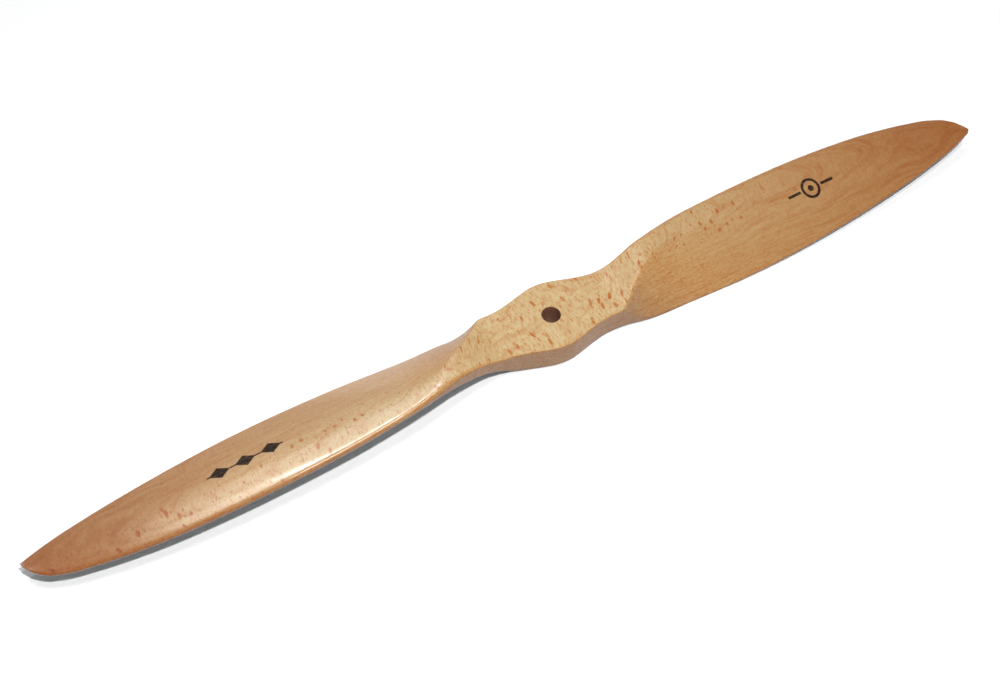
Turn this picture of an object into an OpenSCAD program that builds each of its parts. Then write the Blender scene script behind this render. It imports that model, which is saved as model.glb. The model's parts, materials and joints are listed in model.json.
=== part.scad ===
// Two-bladed wooden propeller for a model aircraft, carved from one board of beech.
// The origin is the centre of the bore on the hub's back face. +Z runs along the bore towards the
// cambered front of the blades, and +X runs along one blade. The other blade is the first one
// turned half a turn about Z, so each length below is given once, for the blade on +X.

/* [Blades] */
// Diameter of the circle that the tips sweep
diameter = 482.6; // [460:0.1:510]
// Advance in one turn of the screw surface that the blades follow
pitch = 254; // [230:1:270]
// Thickness of the board, which caps the blade roots
board_t = 20.2; // [19:0.1:22]
// Thickness of the trailing edge
trail_t = 1; // [0.8:0.1:1.4]
// Width of the blades and hub, as a share of the drawn outline
width = 1; // [0.95:0.01:1.1]

/* [Hub] */
// Thickness of the hub between its two flat faces
hub_t = 13.2; // [12:0.1:15]
// Diameter of the bore
bore_d = 8.5; // [5:0.1:12]
// Radius at which the flat front of the hub ends and the scoop up to the board's top starts
scoop_start = 27; // [25:0.5:29]
// Radius at which the scoop meets the board's top
scoop_end = 54; // [50:0.5:60]
// Rounding of the hub's edges
hub_ease = 0.8; // [0.3:0.1:1]

/* [Hidden] */
tip_r = diameter / 2;

// Each line below lists [share of the tip radius, length in mm], from the hub's centre to the tip.
// Plan outline: how far the leading and the trailing edge lie from the blade's centre line
lead_line = [[0, 17.5], [0.025, 17], [0.05, 15.2], [0.075, 13], [0.11, 10.7], [0.15, 9.9],
             [0.21, 11.8], [0.29, 15.2], [0.39, 17.2], [0.52, 18], [0.66, 17.2], [0.81, 13.9],
             [0.89, 10.3], [0.945, 6.6], [0.975, 2.6], [0.992, -2.4], [1, -7.1]];
trail_line = [[0, 17.5], [0.025, 16.6], [0.05, 15.3], [0.085, 14.1], [0.125, 14.6], [0.175, 17.2],
              [0.27, 18.9], [0.41, 21.1], [0.58, 21.1], [0.75, 18.3], [0.87, 14.7], [0.955, 10.9],
              [1, 7.8]];
// Height of the leading edge's underside and of the trailing edge's top above the back face
lead_low = [[0.075, 0], [0.11, 3], [0.15, 7.3], [0.21, 12.4], [0.29, 15.3], [0.41, 14.2],
            [0.58, 13], [0.79, 10.6], [1, 8]];
trail_top = [[0.18, 1.3], [0.25, 0.7], [0.41, 1.5], [0.62, 3.7], [0.83, 5.5], [1, 7.2]];
// Thickness of the leading edge, and height of the front's bulge as a share of the chord
lead_t = [[0.25, 3.3], [0.41, 3.1], [0.62, 2.7], [0.83, 2.3], [1, 1.6]];
bulge = [[0.12, 0.2], [0.18, 0.17], [0.24, 0.12], [0.33, 0.08], [0.45, 0.065], [1, 0.05]];
// Slopes with which the two outlines reach the tip
lead_end = -5;
trail_end = -0.35;

// Share of the full screw slope that the face and the back keep
helix_share = 0.96;
// Share of the chord, from the leading edge, at which the front bulges most
crest = 0.36;
// Radii between which the face goes over from the screw slope to the line between the edges
face_in = 60;
face_out = 85;
// The trailing edge climbs the side of the hub from this radius inwards, over this length
run_out_r = 44;
run_out_l = 15;
run_out_power = 1.8;
// Widths of the soft blends where the scoop meets the face and where the back meets the board
front_blend = 1.8;
back_blend = 0.8;
// How far the rounding of the leading and of the trailing edge reaches in, as [radius, length]
nose_reach = [[0, hub_ease], [30, hub_ease], [60, 2.4], [140, 2.4], [tip_r, 1.1]];
tail_reach = [[0, hub_ease], [30, hub_ease], [45, trail_t / 2], [tip_r, trail_t / 2]];
// Most of the chord that the rounding of one edge takes up
reach_share = 0.4;
// Height of the flat left between the roundings of an edge's two corners
edge_flat = 0.1;

// Stations along the blade: close over the hub and scoop, and closing in on the tip
root_end = 60;
outer_start = 200;
root_stations = 30;
blade_stations = 34;
tip_stations = 14;
stations = concat(
    [for (i = [0:root_stations - 1]) root_end * i / root_stations],
    [for (i = [0:blade_stations - 1]) root_end + (outer_start - root_end) * i / blade_stations],
    [for (i = [0:tip_stations]) outer_start + (tip_r - outer_start) * sin(90 * i / tip_stations)]
);
// Points across each face: an arc at each edge and even steps between them
arc_steps = 3;
face_steps = 12;

// Smooth line through a list of points, with given slopes at its two ends
function secant(p, i) = (p[i + 1][1] - p[i][1]) / (p[i + 1][0] - p[i][0]);
function slope_at(p, i, first, last) =
    i == 0 ? first
    : i == len(p) - 1 ? last
    : let (before = p[i][0] - p[i - 1][0], after = p[i + 1][0] - p[i][0])
        (after * secant(p, i - 1) + before * secant(p, i)) / (before + after);
function smooth_line(p, x, first, last) =
    let (
        at = max(p[0][0], min(p[len(p) - 1][0], x)),
        i = min(len(p) - 2, len([for (q = p) if (q[0] <= at) q]) - 1),
        gap = p[i + 1][0] - p[i][0],
        t = (at - p[i][0]) / gap,
        rise = p[i + 1][1] - p[i][1],
        a = slope_at(p, i, first, last) * gap - rise,
        b = rise - slope_at(p, i + 1, first, last) * gap
    )
    p[i][1] + t * rise + t * (1 - t) * (a * (1 - t) + b * t);
function end_secant(p) = secant(p, len(p) - 2);

function smooth_step(t) = let (s = max(0, min(1, t))) s * s * (3 - 2 * s);
function soft_min(a, b, k) = min(a, b) - pow(max(k - abs(a - b), 0), 2) / (4 * k);
function soft_max(a, b, k) = -soft_min(-a, -b, k);

// Edges of the blade on +X at radius x
function lead_y(x) = width * smooth_line(lead_line, x / tip_r, 0, lead_end * tip_r);
function trail_y(x) = -width * smooth_line(trail_line, x / tip_r, 0, trail_end * tip_r);
function lead_low_z(x) =
    x < lead_low[0][0] * tip_r ? 0 : smooth_line(lead_low, x / tip_r, 0, end_secant(lead_low));
function trail_top_z(x) = smooth_line(trail_top, x / tip_r, 0, end_secant(trail_top));
function run_out_z(x) = (hub_t - trail_top[0][1]) * pow(max(0, run_out_r - x) / run_out_l, run_out_power);
function lead_thick(x) = smooth_line(lead_t, x / tip_r, 0, end_secant(lead_t));
function screw_slope(x) = helix_share * pitch / (2 * PI * max(x, scoop_start - 5));

// Front of the blank: flat over the hub, then a scoop up to the board's top
function land_z(x) = hub_t + (board_t - hub_t) * smooth_step((x - scoop_start) / (scoop_end - scoop_start));

// Curve of the front above its chord, from 0 at the leading edge (v = 0) over 1 to 0 (v = 1)
function crown(v) = v < crest ? 1 - pow((crest - v) / crest, 2) : 1 - pow((v - crest) / (1 - crest), 2);

function front_z(x, y) =
    x < scoop_start ? hub_t
    : let (
        chord = lead_y(x) - trail_y(x),
        foot = trail_top_z(x) + run_out_z(x),
        edge_slope = (lead_low_z(x) + lead_thick(x) - foot) / chord,
        share = smooth_step((x - face_in) / (face_out - face_in)),
        slope = (1 - share) * screw_slope(x) + share * edge_slope,
        height = lookup(x / tip_r, bulge) * chord * crown((lead_y(x) - y) / chord)
    )
    soft_min(land_z(x), foot + (y - trail_y(x)) * slope + height, front_blend);

function back_z(x, y) =
    x < lead_low[0][0] * tip_r ? 0
    : max(0, min(
        front_z(x, y) - trail_t,
        soft_max(
            max(0, trail_top_z(x) - trail_t),
            lead_low_z(x) - (lead_y(x) - y) * screw_slope(x),
            back_blend
        )
    ));

// Half section at radius x as [y, top, bottom] points from the trailing to the leading edge
function section(x) =
    let (
        far = lead_y(x),
        near = trail_y(x),
        most = reach_share * (far - near),
        reach = [min(lookup(x, tail_reach), most), min(lookup(x, nose_reach), most)],
        rise = [
            min(reach[0], (front_z(x, near) - back_z(x, near) - edge_flat) / 2),
            min(reach[1], (front_z(x, far) - back_z(x, far) - edge_flat) / 2)
        ]
    )
    concat(
        [for (i = [0:arc_steps]) let (a = 90 * i / arc_steps)
            edge_point(x, near + reach[0] * (1 - cos(a)), rise[0] * (1 - sin(a)))],
        [for (i = [1:face_steps - 1])
            edge_point(x, near + reach[0] + (far - near - reach[0] - reach[1]) * i / face_steps, 0)],
        [for (i = [arc_steps:-1:0]) let (a = 90 * i / arc_steps)
            edge_point(x, far - reach[1] * (1 - cos(a)), rise[1] * (1 - sin(a)))]
    );
function edge_point(x, y, drop) = [y, front_z(x, y) - drop, back_z(x, y) + drop];

// Closed loop around the section: along the front from the far to the near edge, then along the back.
// On the other blade both x and y change sign.
function loop(x, side) =
    let (
        s = section(x),
        up = [0:len(s) - 1],
        down = [len(s) - 1:-1:0],
        front = side > 0 ? down : up,
        back = side > 0 ? up : down
    )
    concat(
        [for (i = front) [side * x, side * s[i][0], s[i][1]]],
        [for (i = back) [side * x, side * s[i][0], s[i][2]]]
    );

module propeller() {
    loops = concat(
        [for (i = [len(stations) - 1:-1:1]) loop(stations[i], -1)],
        [for (x = stations) loop(x, 1)]
    );
    across = len(loops[0]);
    last = len(loops) - 1;
    color("burlywood") difference() {
        polyhedron(
            points = [for (l = loops) each l],
            faces = concat(
                [[for (j = [0:across - 1]) j]],
                [for (i = [0:last - 1], j = [0:across - 1])
                    let (k = (j + 1) % across, a = i * across, b = a + across) [a + j, b + j, b + k, a + k]],
                [[for (j = [across - 1:-1:0]) last * across + j]]
            )
        );
        translate([0, 0, -1]) cylinder(d = bore_d, h = hub_t + 2, $fn = 96);
    }
}

propeller();
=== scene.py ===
"""A carved and lacquered beech propeller for a model aircraft, lying on a pale studio floor.

The blades, necks and hub are lofted again here, far finer than the CAD node that they stand for,
from the same few outline points. Lengths in the shape functions are in millimetres. Blender's
objects are in metres.
"""

import json
import math

import bpy
import numpy as np
from mathutils import Matrix, Vector


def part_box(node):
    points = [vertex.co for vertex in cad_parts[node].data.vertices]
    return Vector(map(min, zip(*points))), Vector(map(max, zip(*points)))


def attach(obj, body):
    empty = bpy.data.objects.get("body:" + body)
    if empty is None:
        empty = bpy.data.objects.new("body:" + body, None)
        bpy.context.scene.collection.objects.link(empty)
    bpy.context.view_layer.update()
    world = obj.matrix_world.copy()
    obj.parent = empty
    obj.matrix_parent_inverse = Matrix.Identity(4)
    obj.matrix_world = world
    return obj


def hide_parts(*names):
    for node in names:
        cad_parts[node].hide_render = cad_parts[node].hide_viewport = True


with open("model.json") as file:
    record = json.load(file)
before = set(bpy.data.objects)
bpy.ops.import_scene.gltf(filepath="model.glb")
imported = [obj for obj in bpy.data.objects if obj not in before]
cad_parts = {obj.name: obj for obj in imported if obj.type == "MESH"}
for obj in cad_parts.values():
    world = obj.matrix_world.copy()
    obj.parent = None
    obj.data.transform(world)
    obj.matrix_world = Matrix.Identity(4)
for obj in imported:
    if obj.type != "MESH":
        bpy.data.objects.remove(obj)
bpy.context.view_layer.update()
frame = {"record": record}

MM = 0.001
low, high = (np.array(corner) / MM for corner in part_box("propeller"))
mounts = {m["name"]: m for m in frame["record"]["mounts"]}
TIP_R = float(high[0])
BOARD_T = float(high[2])
HUB_T = mounts["hub_front"]["pos_m"][2] / MM
BORE_R = mounts["bore"]["dims"]["r_mm"]

# ---------------------------------------------------------------- shape of the blade on +X
PITCH = 254.0
TRAIL_T = 1.0
SCOOP = (27.0, 54.0)
HUB_EASE = 0.8
RUN_OUT_R, RUN_OUT_L, RUN_OUT_POWER = 44.0, 15.0, 1.8
HELIX_SHARE = 0.96
CREST = 0.36
FACE_IN, FACE_OUT = 60.0, 85.0
FRONT_BLEND, BACK_BLEND = 1.8, 0.8
REACH_SHARE = 0.4
NOSE_REACH = [(0, HUB_EASE), (30, HUB_EASE), (60, 2.4), (140, 2.4), (TIP_R, 1.1)]
TAIL_REACH = [(0, HUB_EASE), (30, HUB_EASE), (45, TRAIL_T / 2), (TIP_R, TRAIL_T / 2)]

# [share of the tip radius, millimetres] from the hub's centre to the tip
LEAD_LINE = [
    (0, 17.5), (0.025, 17), (0.05, 15.2), (0.075, 13), (0.11, 10.7), (0.15, 9.9), (0.21, 11.8),
    (0.29, 15.2), (0.39, 17.2), (0.52, 18), (0.66, 17.2), (0.81, 13.9), (0.89, 10.3),
    (0.945, 6.6), (0.975, 2.6), (0.992, -2.4), (1, -7.1),
]
TRAIL_LINE = [
    (0, 17.5), (0.025, 16.6), (0.05, 15.3), (0.085, 14.1), (0.125, 14.6), (0.175, 17.2),
    (0.27, 18.9), (0.41, 21.1), (0.58, 21.1), (0.75, 18.3), (0.87, 14.7), (0.955, 10.9), (1, 7.8),
]
LEAD_LOW = [
    (0.075, 0), (0.11, 3), (0.15, 7.3), (0.21, 12.4), (0.29, 15.3), (0.41, 14.2), (0.58, 13),
    (0.79, 10.6), (1, 8),
]
TRAIL_TOP = [(0.18, 1.3), (0.25, 0.7), (0.41, 1.5), (0.62, 3.7), (0.83, 5.5), (1, 7.2)]
LEAD_T = [(0.25, 3.3), (0.41, 3.1), (0.62, 2.7), (0.83, 2.3), (1, 1.6)]
BULGE = [(0.12, 0.2), (0.18, 0.17), (0.24, 0.12), (0.33, 0.08), (0.45, 0.065), (1, 0.05)]
LEAD_END, TRAIL_END = -5.0, -0.35


def smooth_line(points, x, first=0.0, last=None):
    """A smooth line through the points, x being a share of the tip radius."""
    px, py = np.array(points, dtype=float).T
    gap, secant = np.diff(px), np.diff(py) / np.diff(px)
    slope = np.empty(len(px))
    slope[0] = first
    slope[-1] = secant[-1] if last is None else last
    slope[1:-1] = (gap[1:] * secant[:-1] + gap[:-1] * secant[1:]) / (gap[:-1] + gap[1:])
    x = np.clip(x, px[0], px[-1])
    i = np.clip(np.searchsorted(px, x, side="right") - 1, 0, len(px) - 2)
    t = (x - px[i]) / gap[i]
    rise = py[i + 1] - py[i]
    a = slope[i] * gap[i] - rise
    b = rise - slope[i + 1] * gap[i]
    return py[i] + t * rise + t * (1 - t) * (a * (1 - t) + b * t)


def smooth_step(t):
    t = np.clip(t, 0, 1)
    return t * t * (3 - 2 * t)


def soft_min(a, b, k):
    return np.minimum(a, b) - np.maximum(k - np.abs(a - b), 0) ** 2 / (4 * k)


def soft_max(a, b, k):
    return -soft_min(-a, -b, k)


def lead_y(x):
    return smooth_line(LEAD_LINE, x / TIP_R, 0, LEAD_END * TIP_R)


def trail_y(x):
    return -smooth_line(TRAIL_LINE, x / TIP_R, 0, TRAIL_END * TIP_R)


def lead_low_z(x):
    return np.where(x < LEAD_LOW[0][0] * TIP_R, 0, smooth_line(LEAD_LOW, x / TIP_R))


def trail_top_z(x):
    return smooth_line(TRAIL_TOP, x / TIP_R)


def screw_slope(x):
    return HELIX_SHARE * PITCH / (2 * math.pi * np.maximum(x, SCOOP[0] - 5))


def land_z(x):
    return HUB_T + (BOARD_T - HUB_T) * smooth_step((x - SCOOP[0]) / (SCOOP[1] - SCOOP[0]))


def crown(v):
    return np.where(v < CREST, 1 - ((CREST - v) / CREST) ** 2, 1 - ((v - CREST) / (1 - CREST)) ** 2)


def front_z(x, y):
    chord = lead_y(x) - trail_y(x)
    run_out = (HUB_T - TRAIL_TOP[0][1]) * (np.maximum(0, RUN_OUT_R - x) / RUN_OUT_L) ** RUN_OUT_POWER
    foot = trail_top_z(x) + run_out
    edge_slope = (lead_low_z(x) + smooth_line(LEAD_T, x / TIP_R) - foot) / chord
    share = smooth_step((x - FACE_IN) / (FACE_OUT - FACE_IN))
    slope = (1 - share) * screw_slope(x) + share * edge_slope
    bulge = np.interp(x / TIP_R, *np.array(BULGE).T) * chord * crown((lead_y(x) - y) / chord)
    face = foot + (y - trail_y(x)) * slope + bulge
    return np.where(x < SCOOP[0], HUB_T, soft_min(land_z(x), face, FRONT_BLEND))


def back_z(x, y):
    plane = lead_low_z(x) - (lead_y(x) - y) * screw_slope(x)
    cut = soft_max(np.maximum(0, trail_top_z(x) - TRAIL_T), plane, BACK_BLEND)
    cut = np.maximum(0, np.minimum(front_z(x, y) - TRAIL_T, cut))
    return np.where(x < LEAD_LOW[0][0] * TIP_R, 0, cut)


# ---------------------------------------------------------------- loft
ROOT_END, TIP_START = 70.0, 205.0
ROOT_STEP, BLADE_STEP, TIP_STATIONS = 0.5, 1.4, 40
ARC_STEPS = 7
FACE_STEPS = 70
EDGE_FLAT = 0.1
RIM_EASE = 0.2
BORE_STEPS = 128


def stations():
    """Radii of the sections: close over the neck, then wider, closing in again on the tip."""
    root = np.arange(0, ROOT_END, ROOT_STEP)
    blade = np.arange(ROOT_END, TIP_START, BLADE_STEP)
    tip = TIP_START + (TIP_R - TIP_START) * np.sin(np.linspace(0, math.pi / 2, TIP_STATIONS))
    return np.concatenate([root, blade, tip])


def section(x):
    """(y, front, back) at radius x, from the trailing to the leading edge."""
    far, near = lead_y(x), trail_y(x)
    most = REACH_SHARE * (far - near)
    reach_t = min(float(np.interp(x, *np.array(TAIL_REACH).T)), most)
    reach_l = min(float(np.interp(x, *np.array(NOSE_REACH).T)), most)
    a = np.linspace(0, math.pi / 2, ARC_STEPS + 1)
    inner = np.linspace(near + reach_t, far - reach_l, FACE_STEPS + 1)[1:-1]
    y = np.concatenate([near + reach_t * (1 - np.cos(a)), inner, (far - reach_l * (1 - np.cos(a)))[::-1]])
    rise_t = min(reach_t, (front_z(x, near) - back_z(x, near) - EDGE_FLAT) / 2)
    rise_l = min(reach_l, (front_z(x, far) - back_z(x, far) - EDGE_FLAT) / 2)
    drop = np.concatenate([rise_t * (1 - np.sin(a)), 0 * inner, (rise_l * (1 - np.sin(a)))[::-1]])
    return y, front_z(x, y) - drop, back_z(x, y) + drop


def loft():
    """Vertices and faces of the whole propeller as closed loops of points joined end to end."""
    rings = []
    for side in (-1, 1):
        for x in stations()[::side][: -1 if side < 0 else None]:
            y, front, back = section(np.float64(x))
            y, front, back = (v if side > 0 else v[::-1] for v in (side * y, front, back))
            top = np.stack([np.full_like(y, side * x), y, front], axis=-1)[::-1]
            bottom = np.stack([np.full_like(y, side * x), y, back], axis=-1)
            rings.append(np.concatenate([top, bottom]))
    around, count = len(rings[0]), len(rings)
    a = (np.arange(count - 1)[:, None] * around + np.arange(around)[None]).ravel()
    b = (np.arange(count - 1)[:, None] * around + (np.arange(around)[None] + 1) % around).ravel()
    quads = np.stack([a, a + around, b + around, b], axis=-1).tolist()
    caps = [list(range(around)), list(range((count - 1) * around, count * around))[::-1]]
    return np.concatenate(rings) * MM, quads + caps


def new_object(name, vertices, faces):
    mesh = bpy.data.meshes.new(name)
    mesh.from_pydata([tuple(v) for v in vertices], [], faces)
    mesh.validate()
    obj = bpy.data.objects.new(name, mesh)
    bpy.context.scene.collection.objects.link(obj)
    return obj


def bore_cutter():
    """A plug as wide as the bore that flares at both faces of the hub, so that the rim is eased."""
    a = np.radians(np.linspace(12, 90, 6))
    flare = BORE_R + RIM_EASE * (1 - np.sin(a))
    depth = RIM_EASE * (1 - np.cos(a))
    steps = BORE_STEPS
    radius = np.concatenate([[flare[0]], flare, flare[::-1], [flare[0]]])
    height = np.concatenate([[-1], depth, HUB_T - depth[::-1], [HUB_T + 1]])
    turn = np.linspace(0, 2 * math.pi, steps, endpoint=False)
    points = [
        (r * math.cos(t) * MM, r * math.sin(t) * MM, h * MM) for r, h in zip(radius, height) for t in turn
    ]
    faces = [
        [i * steps + j, i * steps + (j + 1) % steps, (i + 1) * steps + (j + 1) % steps, (i + 1) * steps + j]
        for i in range(len(radius) - 1)
        for j in range(steps)
    ]
    last = (len(radius) - 1) * steps
    faces += [list(range(steps))[::-1], list(range(last, last + steps))]
    return new_object("bore_cutter", points, faces)


def cut(obj, cutter):
    """Applies cutter to obj as a boolean difference and removes it."""
    modifier = obj.modifiers.new("bore", "BOOLEAN")
    modifier.operation = "DIFFERENCE"
    modifier.solver = "EXACT"
    modifier.object = cutter
    depsgraph = bpy.context.evaluated_depsgraph_get()
    mesh = bpy.data.meshes.new_from_object(obj.evaluated_get(depsgraph), depsgraph=depsgraph)
    obj.modifiers.clear()
    obj.data = mesh
    bpy.data.objects.remove(cutter)


# ---------------------------------------------------------------- materials
class Nodes:
    """Short calls that add nodes to a material and join them."""

    def __init__(self, name):
        self.material = bpy.data.materials.new(name)
        self.material.use_nodes = True
        self.tree = self.material.node_tree
        self.tree.nodes.clear()
        self.shader = self.add("ShaderNodeBsdfPrincipled")
        output = self.add("ShaderNodeOutputMaterial")
        self.tree.links.new(self.shader.outputs[0], output.inputs["Surface"])

    def add(self, kind, **settings):
        node = self.tree.nodes.new(kind)
        for key, value in settings.items():
            setattr(node, key, value)
        return node

    def put(self, socket, value):
        if isinstance(value, bpy.types.NodeSocket):
            self.tree.links.new(value, socket)
        else:
            socket.default_value = value

    def math(self, operation, *values, clamp=False):
        node = self.add("ShaderNodeMath", operation=operation, use_clamp=clamp)
        for socket, value in zip(node.inputs, values):
            self.put(socket, value)
        return node.outputs[0]

    def vector(self, operation, *values):
        node = self.add("ShaderNodeVectorMath", operation=operation)
        for socket, value in zip(node.inputs, values):
            self.put(socket, value)
        return node.outputs["Value" if operation in ("LENGTH", "DOT_PRODUCT", "DISTANCE") else "Vector"]

    def ramp(self, value, low, high, out_low=0.0, out_high=1.0):
        node = self.add("ShaderNodeMapRange", interpolation_type="SMOOTHSTEP")
        for socket, item in zip(node.inputs, (value, low, high, out_low, out_high)):
            self.put(socket, item)
        return node.outputs[0]

    def mix(self, share, a, b, blend="MIX"):
        node = self.add("ShaderNodeMix", data_type="RGBA", blend_type=blend)
        self.put(node.inputs["Factor"], share)
        self.put(node.inputs["A"], a)
        self.put(node.inputs["B"], b)
        return node.outputs["Result"]

    def noise(self, vector, detail=2.0, roughness=0.5, colour=False, scale=1.0):
        node = self.add("ShaderNodeTexNoise")
        self.put(node.inputs["Vector"], vector)
        self.put(node.inputs["Scale"], scale)
        self.put(node.inputs["Detail"], detail)
        self.put(node.inputs["Roughness"], roughness)
        return node.outputs["Color" if colour else "Fac"]

    def parts(self, vector):
        node = self.add("ShaderNodeSeparateXYZ")
        self.put(node.inputs[0], vector)
        return node.outputs

    def shade(self, colour, pattern, depth):
        """Darkens colour towards rust where pattern is high, and lightens it where it is low."""
        amount = self.math("SUBTRACT", pattern, 0.5)
        push = self.math("MULTIPLY", amount, depth)
        dark = self.math("MULTIPLY", self.math("MAXIMUM", push, 0.0), 4.0)
        light = self.math("MULTIPLY", self.math("MAXIMUM", self.math("MULTIPLY", push, -1.0), 0.0), 2.0)
        colour = self.mix(dark, colour, RUST, blend="MULTIPLY")
        return self.mix(light, colour, PALE, blend="SCREEN")


def srgb(red, green, blue):
    """The linear colour of 8-bit display values."""
    values = [v / 255 for v in (red, green, blue)]
    return (*[v / 12.92 if v <= 0.04045 else ((v + 0.055) / 1.055) ** 2.4 for v in values], 1.0)


HUB_COLOUR = srgb(183, 158, 114)
TIP_COLOUR = srgb(146, 93, 45)
CREAM = srgb(198, 180, 146)
SLOPE_TINT = srgb(252, 233, 204)
# Painted shade: a darker, cooler tint for the steep side faces of the wood
SIDE_SHADE_TINT = srgb(209, 199, 206)
RUST = srgb(231, 165, 79)
PALE = srgb(118, 112, 90)
INK = srgb(30, 24, 22)
NEUTRAL = srgb(150, 150, 150)

LEAN = math.radians(11)
LEAN_RADIUS = 45.0
RAY_LEVEL = 13.2
MARK_R = 146.5
LOZENGE_Y, RING_Y = 2.8, 0.4


def object_place(n):
    """Position on the propeller in millimetres."""
    return n.vector("MULTIPLY", n.add("ShaderNodeTexCoord").outputs["Object"], (1000, 1000, 1000))


def ray_lean(n):
    """How far the rays lean, in radians: they lie flat in the hub and lean towards the leading edge out
    along both blades."""
    x = n.parts(object_place(n))[0]
    return n.math("MULTIPLY", n.math("TANH", n.math("DIVIDE", x, LEAN_RADIUS)), -LEAN)


def board_place(n):
    """Position in the board in millimetres: x along the grain, y along the rays and z across them."""
    turn = n.add("ShaderNodeVectorRotate", rotation_type="X_AXIS")
    turn.inputs["Center"].default_value = (0, 0, RAY_LEVEL)
    n.put(turn.inputs["Vector"], object_place(n))
    n.put(turn.inputs["Angle"], ray_lean(n))
    slow = n.noise(n.vector("MULTIPLY", turn.outputs[0], (0.04, 0.05, 0.05)), detail=1, colour=True)
    wander = n.vector("MULTIPLY", n.vector("SUBTRACT", slow, (0.5, 0.5, 0.5)), (9.0, 3.0, 1.6))
    return n.vector("ADD", turn.outputs[0], wander)


def rays(n, place, spacing, half, share, seed):
    """Medullary rays: flat lenses in the board, spacing and half sizes in millimetres along the grain,
    outwards and around. share is how many of them show."""
    moved = n.vector("ADD", place, (seed * 37.0, seed * 11.0, seed * 5.0))
    scaled = n.vector("DIVIDE", moved, spacing)
    cell = n.add("ShaderNodeTexVoronoi", feature="F1")
    n.put(cell.inputs["Vector"], scaled)
    cell.inputs["Scale"].default_value = 1.0
    offset = n.vector("SUBTRACT", scaled, cell.outputs["Position"])
    reach = tuple(s / h for s, h in zip(spacing, half))
    lens = n.ramp(n.vector("LENGTH", n.vector("MULTIPLY", offset, reach)), 1.15, 0.75)
    pick = n.add("ShaderNodeSeparateColor")
    n.put(pick.inputs[0], cell.outputs["Color"])
    shown = n.math("LESS_THAN", pick.outputs[0], share)
    strength = n.ramp(pick.outputs[1], 0, 1, 0.7, 1.0)
    return n.math("MULTIPLY", n.math("MULTIPLY", lens, shown), strength)


def ink_marks(n):
    """Plain stamped marks: three lozenges on a line on one blade, a ring and a dot on the other."""
    place = object_place(n)
    x, y, z = n.parts(place)
    wobble = n.math("MULTIPLY", n.math("SUBTRACT", n.noise(place, detail=2, scale=1.6), 0.5), 0.5)

    def lozenge(cx, cy, half_x, half_y):
        dx = n.math("DIVIDE", n.math("ABSOLUTE", n.math("SUBTRACT", x, cx)), half_x)
        dy = n.math("DIVIDE", n.math("ABSOLUTE", n.math("SUBTRACT", y, cy)), half_y)
        return n.math("MULTIPLY", n.math("SUBTRACT", n.math("ADD", dx, dy), 1.0), half_y)

    def ring(cx, cy, radius, half_width):
        dx = n.math("SUBTRACT", x, cx)
        dy = n.math("SUBTRACT", y, cy)
        length = n.math("SQRT", n.math("ADD", n.math("MULTIPLY", dx, dx), n.math("MULTIPLY", dy, dy)))
        return n.math("SUBTRACT", n.math("ABSOLUTE", n.math("SUBTRACT", length, radius)), half_width)

    def bar(cx, cy, half_x, half_y):
        dx = n.math("SUBTRACT", n.math("ABSOLUTE", n.math("SUBTRACT", x, cx)), half_x)
        dy = n.math("SUBTRACT", n.math("ABSOLUTE", n.math("SUBTRACT", y, cy)), half_y)
        return n.math("MAXIMUM", dx, dy)

    shapes = [lozenge(-MARK_R + step, LOZENGE_Y, 4.6, 3.2) for step in (-11.5, 0, 11.5)]
    shapes += [bar(-MARK_R, LOZENGE_Y, 17.0, 0.35)]
    shapes += [ring(MARK_R, RING_Y, 4.3, 0.65), ring(MARK_R, RING_Y, 0, 1.5)]
    shapes += [bar(MARK_R + side * 9.6, RING_Y, 3.6, 0.65) for side in (-1, 1)]
    nearest = shapes[0]
    for shape in shapes[1:]:
        nearest = n.math("MINIMUM", nearest, shape)
    on_front = n.math("GREATER_THAN", z, 5.0)
    return n.math("MULTIPLY", n.ramp(n.math("ADD", nearest, wobble), 0.18, -0.12), on_front)


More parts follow.
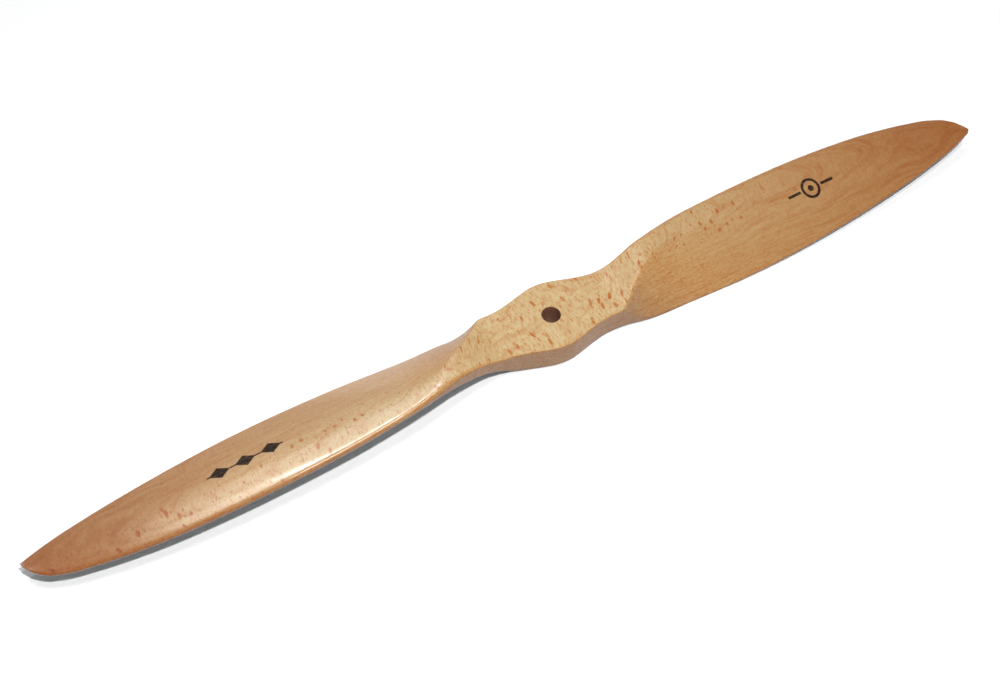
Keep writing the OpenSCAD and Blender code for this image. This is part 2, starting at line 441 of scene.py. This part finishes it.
def beech():
    n = Nodes("lacquered_beech")
    place = board_place(n)
    x, y, z = n.parts(place)

    # Growth rings: bands along the grain that darken outwards and then end
    warp = n.noise(n.vector("MULTIPLY", place, (0.008, 0.10, 0.10)), detail=2)
    ring = n.math("FRACT", n.math("ADD", n.math("DIVIDE", y, 2.7), n.math("MULTIPLY", warp, 2.4)))
    late = n.math("POWER", ring, 4.0)

    streak = n.noise(n.vector("MULTIPLY", place, (0.05, 0.9, 0.9)), detail=3, roughness=0.65)
    fibre = n.noise(n.vector("MULTIPLY", place, (0.45, 3.2, 3.2)), detail=2, roughness=0.6)
    tick = n.noise(n.vector("MULTIPLY", place, (1.0, 0.34, 1.2)), detail=2, roughness=0.6)
    sheet = n.noise(n.vector("MULTIPLY", place, (0.05, 0.07, 3.6)), detail=2, roughness=0.6)
    cloud = n.noise(n.vector("MULTIPLY", place, (0.015, 0.06, 0.06)), detail=2)

    bold = rays(n, place, (4.6, 7.0, 0.45), (0.85, 2.6, 0.22), 0.28, 1.0)
    middle = rays(n, place, (2.2, 4.0, 0.3), (0.38, 1.4, 0.08), 0.5, 2.0)
    fine = rays(n, place, (1.2, 2.4, 0.16), (0.38, 1.1, 0.05), 0.8, 3.0)

    # The wood is pale where a face lies flat on the rays, as on the hub, and palest along the leading half
    # of the blade on -X. It deepens towards the tips and where a face slopes across the rays.
    normal = n.parts(n.add("ShaderNodeNewGeometry").outputs["Normal"])
    lean = ray_lean(n)
    across = n.math("MULTIPLY", normal[1], n.math("COSINE", lean))
    across = n.math("SUBTRACT", across, n.math("MULTIPLY", normal[2], n.math("SINE", lean)))
    slope = n.ramp(n.math("ABSOLUTE", across), 0.1, 0.5)
    radius = n.math("DIVIDE", n.math("ABSOLUTE", x), TIP_R)
    tint = n.math("ADD", slope, n.ramp(radius, 0.25, 0.75, 0, 0.6), clamp=True)
    # The steep side faces are tinted darker and cooler: painted shade on the side walls, not a colour of
    # the wood
    side = n.ramp(n.math("ABSOLUTE", normal[2]), 0.85, 0.35)
    leading = n.math("MULTIPLY", y, n.math("SIGN", x))
    paler = n.math("SUBTRACT", n.ramp(x, -35.0, -80.0), n.ramp(x, -145.0, -220.0))
    paler = n.math("MULTIPLY", paler, n.ramp(leading, -8.0, 8.0, 0.1, 0.55))
    paler = n.math("MULTIPLY", paler, n.math("SUBTRACT", 1.0, slope))
    outwards = n.add("ShaderNodeMapRange")
    for socket, value in zip(outwards.inputs, (radius, 0.1, 1.0, 0.0, 1.0)):
        n.put(socket, value)
    deep = n.math("MULTIPLY", outwards.outputs[0], n.math("SUBTRACT", 1.0, paler))

    colour = n.mix(deep, HUB_COLOUR, TIP_COLOUR)
    colour = n.mix(paler, colour, CREAM)
    colour = n.mix(tint, colour, SLOPE_TINT, blend="MULTIPLY")
    colour = n.mix(side, colour, SIDE_SHADE_TINT, blend="MULTIPLY")
    colour = n.shade(colour, cloud, 0.12)
    colour = n.shade(colour, streak, n.ramp(slope, 0, 1, 0.1, 0.4))
    colour = n.shade(colour, fibre, n.ramp(slope, 0, 1, 0.15, 0.85))
    ticked = n.math("MULTIPLY", n.ramp(radius, 0.15, 0.4, 1.0, 0.45), n.ramp(slope, 0, 1, 0.65, 0.2))
    colour = n.shade(colour, tick, ticked)
    colour = n.shade(colour, sheet, n.ramp(slope, 0, 1, 0.45, 0.2))

    # The rays show most where they lie in the surface. On the blades they show along the leading edge, and
    # less towards the tip on +X.
    hidden = n.math("MULTIPLY", n.ramp(radius, 0.2, 0.4), n.ramp(leading, 3.0, -5.0, 0.0, 0.8))
    shown = n.math("MULTIPLY", n.ramp(x, 80.0, 150.0, 1.0, 0.35), n.math("SUBTRACT", 1.0, hidden))
    layers = ((late, 0.03, 0.2), (fine, 0.35, 0.25), (middle, 0.7, 0.35), (bold, 1.0, 0.6))
    for pattern, flat, steep in layers:
        weight = n.math("MULTIPLY", shown, n.ramp(slope, 0, 1, flat, steep))
        colour = n.mix(n.math("MULTIPLY", pattern, weight), colour, RUST, blend="MULTIPLY")
    ink = n.math("MULTIPLY", ink_marks(n), n.ramp(fibre, 0.45, 0.75, 1.0, 0.75))
    colour = n.mix(ink, colour, INK)
    # The light that the wood throws on the floor is neutral, so that the shadow stays grey
    thrown = n.add("ShaderNodeLightPath").outputs["Is Diffuse Ray"]
    colour = n.mix(thrown, colour, NEUTRAL)
    n.put(n.shader.inputs["Base Color"], colour)

    n.put(n.shader.inputs["Roughness"], n.ramp(fibre, 0.2, 0.8, 0.42, 0.52))
    n.shader.inputs["IOR"].default_value = 1.5
    # The lacquer is thin on the hub and the necks and full on the blades. The ink is matt.
    coat = n.math("MULTIPLY", n.ramp(radius, 0.2, 0.35, 0.15, 0.8), n.ramp(ink, 0, 1, 1.0, 0.0))
    n.put(n.shader.inputs["Coat Weight"], coat)
    n.put(n.shader.inputs["Specular IOR Level"], n.ramp(ink, 0, 1, 0.5, 0.1))
    n.put(n.shader.inputs["Coat Roughness"], n.ramp(cloud, 0.3, 0.7, 0.13, 0.18))

    height = n.math("ADD", n.math("MULTIPLY", fibre, 0.6), n.math("MULTIPLY", middle, -0.4))
    bump = n.add("ShaderNodeBump")
    bump.inputs["Strength"].default_value = 0.2
    bump.inputs["Distance"].default_value = 0.0001
    n.put(bump.inputs["Height"], height)
    n.put(n.shader.inputs["Normal"], bump.outputs[0])
    return n.material


def bore_wood():
    """Bare end grain inside the drilled hole, darker than the lacquered faces."""
    n = Nodes("bare_bore_wood")
    place = board_place(n)
    turned = n.noise(n.vector("MULTIPLY", place, (0.9, 0.9, 5.0)), detail=3)
    colour = n.mix(n.ramp(turned, 0.3, 0.7), srgb(104, 66, 52), srgb(158, 112, 86))
    n.put(n.shader.inputs["Base Color"], colour)
    n.put(n.shader.inputs["Roughness"], n.ramp(turned, 0.3, 0.7, 0.6, 0.85))
    bump = n.add("ShaderNodeBump")
    bump.inputs["Strength"].default_value = 0.4
    bump.inputs["Distance"].default_value = 0.0002
    n.put(bump.inputs["Height"], turned)
    n.put(n.shader.inputs["Normal"], bump.outputs[0])
    return n.material


def build_propeller():
    obj = new_object("carved_propeller", *loft())
    cut(obj, bore_cutter())
    mesh = obj.data
    mesh.materials.clear()
    mesh.materials.append(beech())
    mesh.materials.append(bore_wood())
    # The wall of the bore and the inner part of its eased rims are bare wood
    for face in mesh.polygons:
        centre = face.center
        if math.hypot(centre.x, centre.y) < (BORE_R + 0.06) * MM and abs(face.normal.z) < 0.8:
            face.material_index = 1
    mesh.shade_smooth()
    mesh.set_sharp_from_angle(angle=math.radians(32))
    return obj


propeller = build_propeller()
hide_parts("propeller")
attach(propeller, "root")


# ---------------------------------------------------------------- floor, light and camera
def build_floor():
    """A plain floor 6 m across, a hair below the hub's back."""
    floor = new_object("floor", [(-3, -3, 0), (3, -3, 0), (3, 3, 0), (-3, 3, 0)], [[0, 1, 2, 3]])
    floor.location.z = -0.05 * MM
    n = Nodes("pale_floor")
    n.shader.inputs["Base Color"].default_value = (0.86, 0.86, 0.86, 1)
    n.shader.inputs["Roughness"].default_value = 0.9
    n.shader.inputs["Specular IOR Level"].default_value = 0.1
    floor.data.materials.append(n.material)


def area_light(name, azimuth, elevation, size, strength, distance=2.2, glossy=True):
    """A round light seen from the hub at azimuth (0 is +Y, 90 is +X) and elevation. A white surface that
    faces it squarely is lit to strength."""
    light = bpy.data.lights.new(name, "AREA")
    light.shape = "DISK"
    light.size = size
    light.energy = strength * (math.pi * distance) ** 2
    obj = bpy.data.objects.new(name, light)
    bpy.context.scene.collection.objects.link(obj)
    turn, lift = math.radians(azimuth), math.radians(elevation)
    away = Vector((math.sin(turn) * math.cos(lift), math.cos(turn) * math.cos(lift), math.sin(lift)))
    obj.location = away * distance
    obj.visible_glossy = glossy
    obj.rotation_euler = away.to_track_quat("Z", "Y").to_euler()


def build_world():
    """A pale room: bright near the horizon and dimmer overhead."""
    world = bpy.data.worlds.new("studio")
    world.use_nodes = True
    bpy.context.scene.world = world
    tree = world.node_tree
    tree.nodes.clear()
    place = tree.nodes.new("ShaderNodeTexCoord")
    split = tree.nodes.new("ShaderNodeSeparateXYZ")
    ramp = tree.nodes.new("ShaderNodeMapRange")
    background = tree.nodes.new("ShaderNodeBackground")
    output = tree.nodes.new("ShaderNodeOutputWorld")
    for socket, value in zip(list(ramp.inputs)[1:5], (0.0, 0.7, 0.5, 0.1)):
        socket.default_value = value
    tree.links.new(place.outputs["Generated"], split.inputs[0])
    tree.links.new(split.outputs[2], ramp.inputs[0])
    tree.links.new(ramp.outputs[0], background.inputs["Strength"])
    background.inputs["Color"].default_value = (0.96, 0.98, 1.0, 1)
    tree.links.new(background.outputs[0], output.inputs[0])


def build_camera():
    """The camera looks down at the propeller from its left front, tilted a little about its own axis."""
    place = Vector((-205.7, -274.5, 488.2)) * MM
    pan, tilt, roll = (math.radians(a) for a in (-33.19, 55.83, 2.25))
    forward = Vector((-math.sin(pan), math.cos(pan), 0)) * math.cos(tilt) - Vector((0, 0, math.sin(tilt)))
    level = Vector((math.cos(pan), math.sin(pan), 0))
    up = level.cross(forward)
    right = level * math.cos(roll) + up * math.sin(roll)
    up = right.cross(forward)
    camera = bpy.data.cameras.new("camera")
    camera.sensor_width = 36
    camera.lens = 1.33005 * camera.sensor_width
    camera.clip_start = 0.01
    obj = bpy.data.objects.new("camera", camera)
    bpy.context.scene.collection.objects.link(obj)
    obj.matrix_world = Matrix((
        (right[0], up[0], -forward[0], place[0]),
        (right[1], up[1], -forward[1], place[1]),
        (right[2], up[2], -forward[2], place[2]),
        (0, 0, 0, 1),
    ))
    bpy.context.scene.camera = obj


build_floor()
build_world()
area_light("front", -165, 71, 0.045, 0.88, distance=0.9, glossy=False)
area_light("top", 100, 86, 0.35, 0.24)
area_light("strip", 4, 54, 0.12, 0.07)
area_light("back", -1, 57, 0.6, 0.11)
area_light("panel", 6, 40, 0.9, 0.1)
build_camera()
bpy.context.scene.view_settings.view_transform = "Standard"
